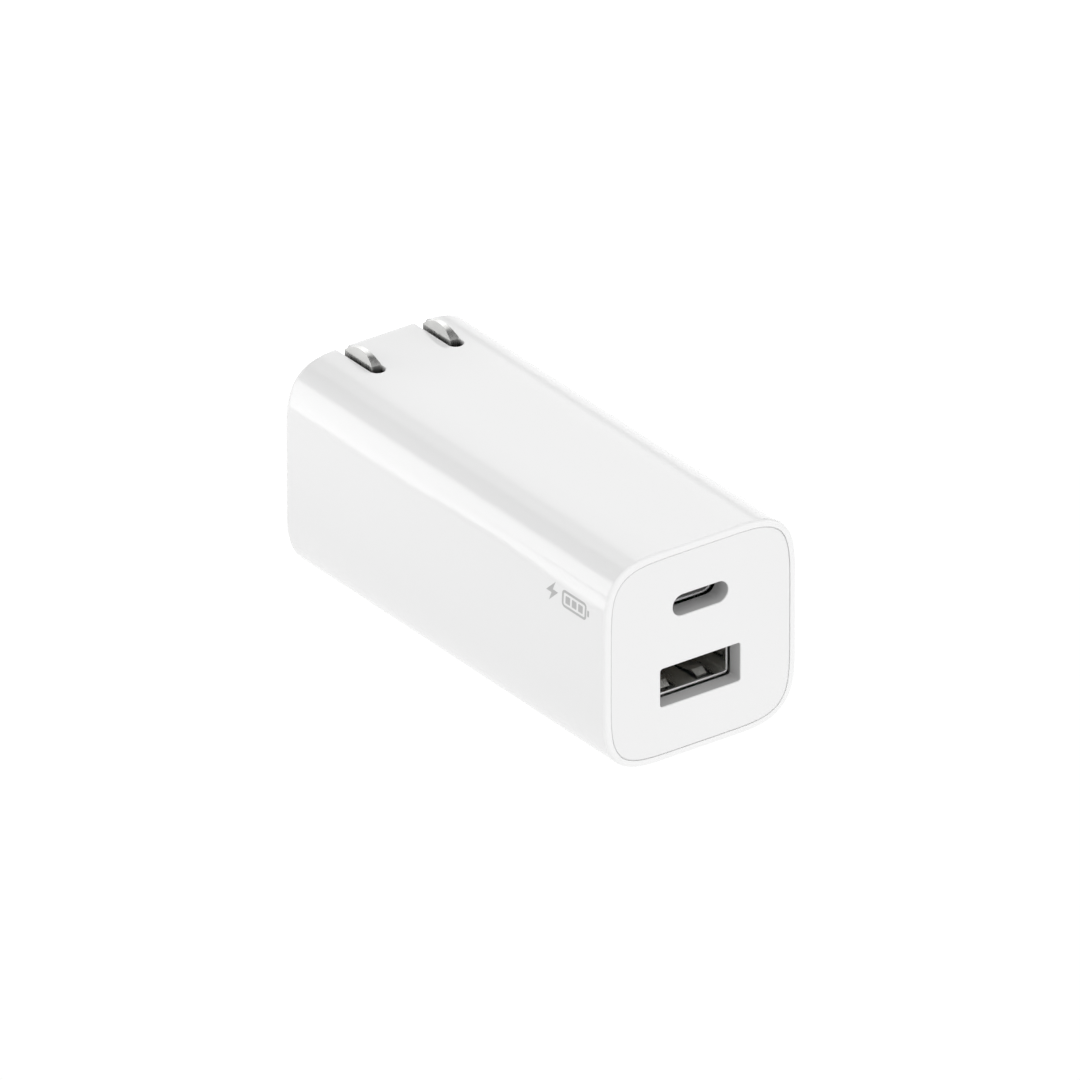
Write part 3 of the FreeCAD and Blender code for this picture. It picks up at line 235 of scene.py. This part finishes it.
def make_world():
    """The sum of the lobes lights the object; the camera itself sees plain white."""
    world = bpy.data.worlds.new("studio")
    bpy.context.scene.world = world
    world.use_nodes = True
    graph = Graph(world.node_tree)
    ray = graph.node("ShaderNodeTexCoord").outputs["Generated"]
    total = AMBIENT
    for azimuth, elevation, inside, outside, radiance in LOBES.values():
        aim = direction(math.radians(180 - azimuth), math.radians(elevation))
        gone = math.cos(math.radians(outside))
        full = math.cos(math.radians(inside))
        lobe = graph.ramp(graph.facing(ray, aim), gone, full, 0.0, radiance)
        total = graph.maths("ADD", lobe, total)
    seen = graph.node("ShaderNodeLightPath").outputs["Is Camera Ray"]
    strength = graph.node("ShaderNodeMix", {0: seen, 2: total, 3: FLOOR_WHITE}).outputs[0]
    background = graph.node("ShaderNodeBackground", {"Color": grey(1.0), "Strength": strength})
    graph.node("ShaderNodeOutputWorld", {"Surface": background.outputs[0]})


def make_floor():
    """A glowing white floor, brighter away from the object at the back left and right."""
    mesh = bpy.data.meshes.new("floor")
    half = FLOOR_HALF
    corners = [(-half, -half, 0), (half, -half, 0), (half, half, 0), (-half, half, 0)]
    mesh.from_pydata(corners, [], [(0, 1, 2, 3)])
    floor = bpy.data.objects.new("floor", mesh)
    bpy.context.scene.collection.objects.link(floor)
    material = bpy.data.materials.new("floor_white")
    material.use_nodes = True
    graph = Graph(material.node_tree)
    place = graph.place()
    across, along, _ = graph.split(place)
    slanted = graph.maths("ADD", graph.maths("MULTIPLY", across, PATCH_SLOPE), along)
    off_centre = graph.maths("ADD", slanted, PATCH_SHIFT)
    off_line = graph.maths("ABSOLUTE", off_centre)
    band = graph.ramp(off_line, PATCH_INSIDE, PATCH_OUTSIDE, PATCH_GLOW, 0.0)
    notch_in = graph.ramp(off_centre, *NOTCH_RISE, 0.0, PATCH_NOTCH)
    notch = graph.product(notch_in, graph.ramp(off_centre, *NOTCH_FALL, 1.0, 0.0))
    reach = graph.maths("SUBTRACT", graph.maths("MULTIPLY", across, -1.0), notch)
    left = graph.ramp(reach, PATCH_START, PATCH_FULL)
    away = graph.node("ShaderNodeVectorMath", {0: place}, operation="LENGTH").outputs["Value"]
    unit = graph.node("ShaderNodeVectorMath", {0: place}, operation="NORMALIZE").outputs[0]
    aim = direction(math.radians(180 - SECTOR_AZIMUTH), 0.0)
    edges = [math.cos(math.radians(angle)) for angle in (SECTOR_OUTSIDE, SECTOR_INSIDE)]
    sector = graph.ramp(graph.facing(unit, aim), *edges, 0.0, SECTOR_GLOW)
    right = graph.ramp(away, PATCH_START, PATCH_FULL)
    glow = graph.maths("ADD", graph.product(band, left), FLOOR_WHITE)
    glow = graph.maths("ADD", graph.product(sector, right), glow)
    emission = graph.node("ShaderNodeEmission", {"Color": grey(1.0), "Strength": glow})
    graph.node("ShaderNodeOutputMaterial", {"Surface": emission.outputs[0]})
    mesh.materials.append(material)


# ---------------------------------------------------------------- materials

def new_material(name):
    material = bpy.data.materials.new("look_" + name)
    material.use_nodes = True
    return material, Graph(material.node_tree)


def moulded(name, colour, roughness, grain_scale=2000.0, grain_depth=0.003 * MM, drift=0.97):
    """Moulded plastic: slight colour drift, fine texture in bump and roughness."""
    material, graph = new_material(name)
    place = graph.place()
    grain = graph.noise(place, grain_scale)
    base = graph.mix(graph.noise(place, 90.0, 3.0), darker(colour, drift), colour)
    graph.surface(Base_Color=base, Roughness=graph.spread(grain, roughness * 0.85, roughness * 1.15),
                  Normal=graph.bump(grain, grain_depth))
    return material


def metal(name, colour, roughness, lines=500.0, stretch=(1.0, 0.08, 1.0), depth=0.002 * MM):
    """Metal with fine drawn or ground lines along the axis that the stretch shortens."""
    material, graph = new_material(name)
    drawn = graph.noise(graph.stretched(graph.place(), stretch), lines, 4.0)
    graph.surface(Base_Color=graph.mix(drawn, darker(colour, 0.88), colour), Metallic=1.0,
                  Roughness=graph.spread(drawn, roughness * 0.75, roughness * 1.25),
                  Normal=graph.bump(drawn, depth))
    return material


def make_shell_look():
    """Polished white plastic, a little uneven, with painted shade on slot walls and back top,
    painted highlight on rim.
    """
    material, graph = new_material("shell_plastic")
    place = graph.place()
    across, along, height = graph.split(place)
    aside = graph.maths("ABSOLUTE", across)
    off_slot = graph.maths("ABSOLUTE", graph.maths("SUBTRACT", aside, BLADE_X))
    in_slot = graph.ramp(off_slot, SLOT_REACH, SLOT_REACH + 0.1 * MM, 1.0, 0.0)
    behind = graph.ramp(along, SLOT_FRONT_Y, SLOT_FRONT_Y + 0.1 * MM)
    inside = graph.ramp(along, BACK_Y - 1.2 * MM, BACK_Y - 0.4 * MM, 1.0, 0.0)
    below = graph.ramp(height, TOP_Z - 0.9 * MM, TOP_Z - 0.12 * MM, 1.0, 0.0)
    above = graph.ramp(height, BLADE_AXIS_Z, BLADE_AXIS_Z + 1.0 * MM)
    # Painted shade: the slot walls behind the slots' front ends are painted dark grey
    slot_shade = graph.product(in_slot, behind, inside, below, above)
    # Painted shade: the top's colour darkens towards the back
    back_top_shade = graph.product(graph.ramp(along, *DIM_ALONG), graph.ramp(height, *DIM_UP))
    # Painted highlight: the front rim is painted whiter
    rim_light = graph.ramp(along, FRONT_Y + 0.1 * MM, FRONT_Y + 0.6 * MM, 1.0, 0.0)
    white = graph.mix(graph.noise(place, 70.0, 2.0), darker(WHITE, 0.992), WHITE)
    white = graph.mix(rim_light, white, RIM_PAINTED_LIGHT)
    shaded = graph.mix(back_top_shade, white, darker(WHITE, 0.95))
    swell = graph.noise(place, 160.0, 1.0)
    fine = graph.noise(place, 3000.0, 1.0)
    graph.surface(Base_Color=graph.mix(slot_shade, shaded, grey(SLOT_SHADE_GREY)),
                  Roughness=graph.spread(fine, 0.055, 0.085), Normal=graph.bump(swell, 0.0015 * MM))
    return material


def make_panel_look():
    """Satin white plastic; the walls of its port cut-outs are painted grey as painted shade, darker
    further in.
    """
    material, graph = new_material("panel_plastic")
    place = graph.place()
    across, depth, height = graph.split(place)
    aside = graph.maths("ABSOLUTE", across)
    over = graph.maths("ABSOLUTE", graph.maths("SUBTRACT", height, CENTRE.z))
    away = graph.maths("MAXIMUM", aside, over)
    central = graph.ramp(away, CUT_OUTS_REACH, CUT_OUTS_REACH + 1.0 * MM, 1.0, 0.0)
    inside = graph.product(graph.ramp(depth, FRONT_Y + 0.10 * MM, FRONT_Y + 0.30 * MM), central)
    deep = graph.ramp(depth, FRONT_Y + 0.5 * MM, FRONT_Y + 3.0 * MM)
    grain = graph.noise(place, 3500.0, 3.0)
    face = graph.mix(graph.noise(place, 90.0), darker(PANEL_WHITE, 0.985), PANEL_WHITE)
    # Painted shade: the cut-out walls are painted grey, a little darker deeper in
    cut_out_wall_shade = graph.mix(deep, grey(0.52), grey(0.48))
    graph.surface(Base_Color=graph.mix(inside, face, cut_out_wall_shade),
                  Roughness=graph.spread(grain, 0.42, 0.55), Normal=graph.bump(grain, 0.004 * MM))
    return material


def make_port_look():
    """Tinned sheet whose cut front edges are made more matt and painted near white as a painted
    highlight.
    """
    material, graph = new_material("port_metal")
    place = graph.place()
    _, depth, height = graph.split(place)
    # Painted highlight: the cut front edges of the port shells are painted near white
    lip_a = graph.ramp(depth, USB_A_LIP_Y + 0.10 * MM, USB_A_LIP_Y + 0.20 * MM, 1.0, 0.0)
    past_a = graph.ramp(depth, USB_C_LIP_Y - 0.05 * MM, USB_C_LIP_Y)
    lip_c = graph.ramp(depth, USB_C_LIP_Y + 0.6 * MM, USB_C_LIP_Y + 1.0 * MM, 1.0, 0.0)
    upper = graph.ramp(height, *BETWEEN_PORTS)
    lip_matt_and_highlight = graph.maths("MAXIMUM", lip_a, graph.product(past_a, lip_c, upper))
    drawn = graph.noise(graph.stretched(place, (1.0, 0.08, 1.0)), 600.0, 4.0)
    sheet = graph.mix(drawn, (0.68, 0.68, 0.65, 1.0), (0.80, 0.80, 0.77, 1.0))
    graph.surface(Base_Color=graph.mix(lip_matt_and_highlight, sheet, grey(0.97)), Metallic=1.0,
                  Roughness=graph.mix(lip_matt_and_highlight, graph.spread(drawn, 0.24, 0.40), grey(0.62)),
                  Normal=graph.bump(drawn, 0.002 * MM))
    return material


def make_blade_look():
    """Nickel plate with drawn lines, and a coarser ground finish on the slanted faces of the tip."""
    material, graph = new_material("blade_metal")
    coordinates = graph.node("ShaderNodeTexCoord").outputs
    place = coordinates["Object"]
    sideways = graph.maths("ABSOLUTE", graph.split(coordinates["Normal"])[0])
    not_flat = graph.ramp(sideways, 0.97, 0.995, 1.0, 0.0)
    slanted = graph.product(graph.ramp(sideways, 0.6, 0.8), not_flat)
    drawn = graph.noise(graph.stretched(place, (1.0, 1.0, 0.06)), 1100.0, 4.0)
    plate = graph.mix(drawn, (0.50, 0.50, 0.49, 1.0), (0.58, 0.58, 0.57, 1.0))
    ground = graph.mix(drawn, (0.52, 0.52, 0.51, 1.0), (0.60, 0.60, 0.59, 1.0))
    graph.surface(Base_Color=graph.mix(slanted, plate, ground), Metallic=1.0,
                  Roughness=graph.mix(slanted, graph.spread(drawn, 0.22, 0.34), grey(0.56)),
                  Normal=graph.bump(drawn, 0.003 * MM))
    return material


def make_ink_look():
    """Grey pad-printed ink, a little uneven."""
    material, graph = new_material("ink")
    place = graph.place()
    density = graph.noise(place, 2500.0, 3.0)
    graph.surface(Base_Color=graph.mix(density, grey(0.43), grey(0.48)),
                  Roughness=graph.spread(density, 0.45, 0.6), Normal=graph.bump(density, 0.002 * MM))
    return material


def make_looks():
    """One look for each material slot of the record."""
    looks = {
        "shell_plastic": make_shell_look(),
        "panel_plastic": make_panel_look(),
        "cradle_plastic": moulded("cradle_plastic", grey(0.012), 0.5),
        "spindle_plastic": moulded("spindle_plastic", grey(0.7), 0.4),
        "tongue_plastic": moulded("tongue_plastic", grey(0.82), 0.35),
        "dark_plastic": moulded("dark_plastic", grey(0.012), 0.45),
        "chip_plastic": moulded("chip_plastic", grey(0.02), 0.6),
        "liner_film": moulded("liner_film", grey(0.02), 0.35, 900.0),
        "film_case": moulded("film_case", (0.60, 0.57, 0.45, 1.0), 0.45),
        "tape": moulded("tape", (0.70, 0.45, 0.03, 1.0), 0.3, 600.0),
        "pad_rubber": moulded("pad_rubber", (0.18, 0.26, 0.34, 1.0), 0.7, 1500.0),
        "board": moulded("board", (0.01, 0.09, 0.03, 1.0), 0.35, 1200.0),
        "ferrite": moulded("ferrite", grey(0.035), 0.65, 1800.0, 0.01 * MM, 0.7),
        "ceramic_blue": moulded("ceramic_blue", (0.02, 0.09, 0.40, 1.0), 0.25, 800.0),
        "blade_metal": make_blade_look(),
        "port_metal": make_port_look(),
        "spring_metal": metal("spring_metal", (0.70, 0.42, 0.18, 1.0), 0.3, 600.0, (1.0, 1.0, 0.08)),
        "contact_metal": metal("contact_metal", (0.90, 0.60, 0.22, 1.0), 0.2, 600.0),
        "copper_wire": metal("copper_wire", (0.65, 0.22, 0.08, 1.0), 0.3, 900.0, (1.0, 1.0, 0.1)),
        "can_metal": metal("can_metal", (0.75, 0.75, 0.77, 1.0), 0.25),
        "sleeve": moulded("sleeve", (0.01, 0.015, 0.05, 1.0), 0.3, 700.0),
        "spreader_metal": metal("spreader_metal", (0.76, 0.76, 0.77, 1.0), 0.35),
    }
    for node in NODES.values():
        mesh = node.data
        for index, worn in enumerate(mesh.materials):
            mesh.materials[index] = looks[worn.name.split(".")[0]]


# ---------------------------------------------------------------- the printed mark

# Outlines in mm: first along the print, then up it
BOLT = [(1.95, 3.1), (0.0, 1.3), (1.2, 1.3), (0.65, 0.0), (2.6, 1.8), (1.4, 1.8)]
CELL_LOW = (3.5, 0.3)
CELL_HIGH = (8.9, 2.8)
CELL_CORNER = 0.6
CELL_LINE = 0.36
CELL_NUB = ((9.1, 1.1), (9.5, 2.0))
BARS = [((4.3, 1.0), (5.3, 2.1)), ((5.7, 1.0), (6.7, 2.1)), ((7.1, 1.0), (8.1, 2.1))]
BAR_CORNER = 0.12
MARK_START_Y = -22.9 * MM
MARK_LOW_Z = 21.6 * MM
MARK_RAISE = 0.012 * MM
MARK_SINK = 0.02 * MM
MARK_ROWS = 12
CORNER_STEPS = 5
SHELL_CORNER = 10.0 * MM
SHELL_POWER = 3.1


def rounded(low, high, corner):
    """Outline of a rectangle with round corners, in mm."""
    points = []
    centres = [(high[0] - corner, high[1] - corner), (low[0] + corner, high[1] - corner),
               (low[0] + corner, low[1] + corner), (high[0] - corner, low[1] + corner)]
    for turn, (x, y) in enumerate(centres):
        for step in range(CORNER_STEPS + 1):
            angle = math.pi / 2 * (turn + step / CORNER_STEPS)
            points.append((x + corner * math.cos(angle), y + corner * math.sin(angle)))
    return points


def shell_side(z):
    """X of the shell's left side at a height, on its soft corner or its flat."""
    start = HALF - SHELL_CORNER
    rise = abs(z - CENTRE.z) - start
    if rise <= 0:
        return -HALF
    share = min(rise / SHELL_CORNER, 1.0)
    return -(start + SHELL_CORNER * (1 - share ** SHELL_POWER) ** (1 / SHELL_POWER))


def add_outline(mesh, outline, hole=None):
    """A flat face, or a ring of faces round a hole with as many points, in the YZ plane."""
    def place(point):
        return mesh.verts.new((0.0, MARK_START_Y - point[0] * MM, MARK_LOW_Z + point[1] * MM))

    outer = [place(point) for point in outline]
    if hole is None:
        mesh.faces.new(outer)
        return
    inner = [place(point) for point in hole]
    for index in range(len(outer)):
        after = (index + 1) % len(outer)
        mesh.faces.new((outer[index], outer[after], inner[after], inner[index]))


def make_mark():
    """A bolt and a battery printed on the left side, following the curve of the shell."""
    mesh = bmesh.new()
    add_outline(mesh, BOLT)
    inner_low = [value + CELL_LINE for value in CELL_LOW]
    inner_high = [value - CELL_LINE for value in CELL_HIGH]
    ring = rounded(CELL_LOW, CELL_HIGH, CELL_CORNER)
    add_outline(mesh, ring, rounded(inner_low, inner_high, CELL_CORNER - CELL_LINE))
    for low, high in [CELL_NUB] + BARS:
        add_outline(mesh, rounded(low, high, BAR_CORNER))
    mesh.normal_update()
    bmesh.ops.triangulate(mesh, faces=mesh.faces[:])
    span = BOLT[0][1] * MM
    for row in range(1, MARK_ROWS):
        height = MARK_LOW_Z + span * row / MARK_ROWS
        parts = mesh.verts[:] + mesh.edges[:] + mesh.faces[:]
        bmesh.ops.bisect_plane(mesh, geom=parts, plane_co=(0, 0, height), plane_no=(0, 0, 1))
    front = mesh.verts[:]
    grown = bmesh.ops.extrude_face_region(mesh, geom=mesh.faces[:], use_keep_orig=True)
    back = [part for part in grown["geom"] if isinstance(part, bmesh.types.BMVert)]
    for verts, offset in ((front, -MARK_RAISE), (back, MARK_SINK)):
        for vert in verts:
            vert.co.x = shell_side(vert.co.z) + offset
    bmesh.ops.recalc_face_normals(mesh, faces=mesh.faces[:])
    data = bpy.data.meshes.new("printed_mark")
    mesh.to_mesh(data)
    mesh.free()
    data.materials.append(make_ink_look())
    mark = bpy.data.objects.new("printed_mark", data)
    bpy.context.scene.collection.objects.link(mark)
    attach(mark, "housing")


make_camera()
make_world()
make_floor()
make_looks()
make_mark()
bpy.context.scene.view_settings.view_transform = "Standard"
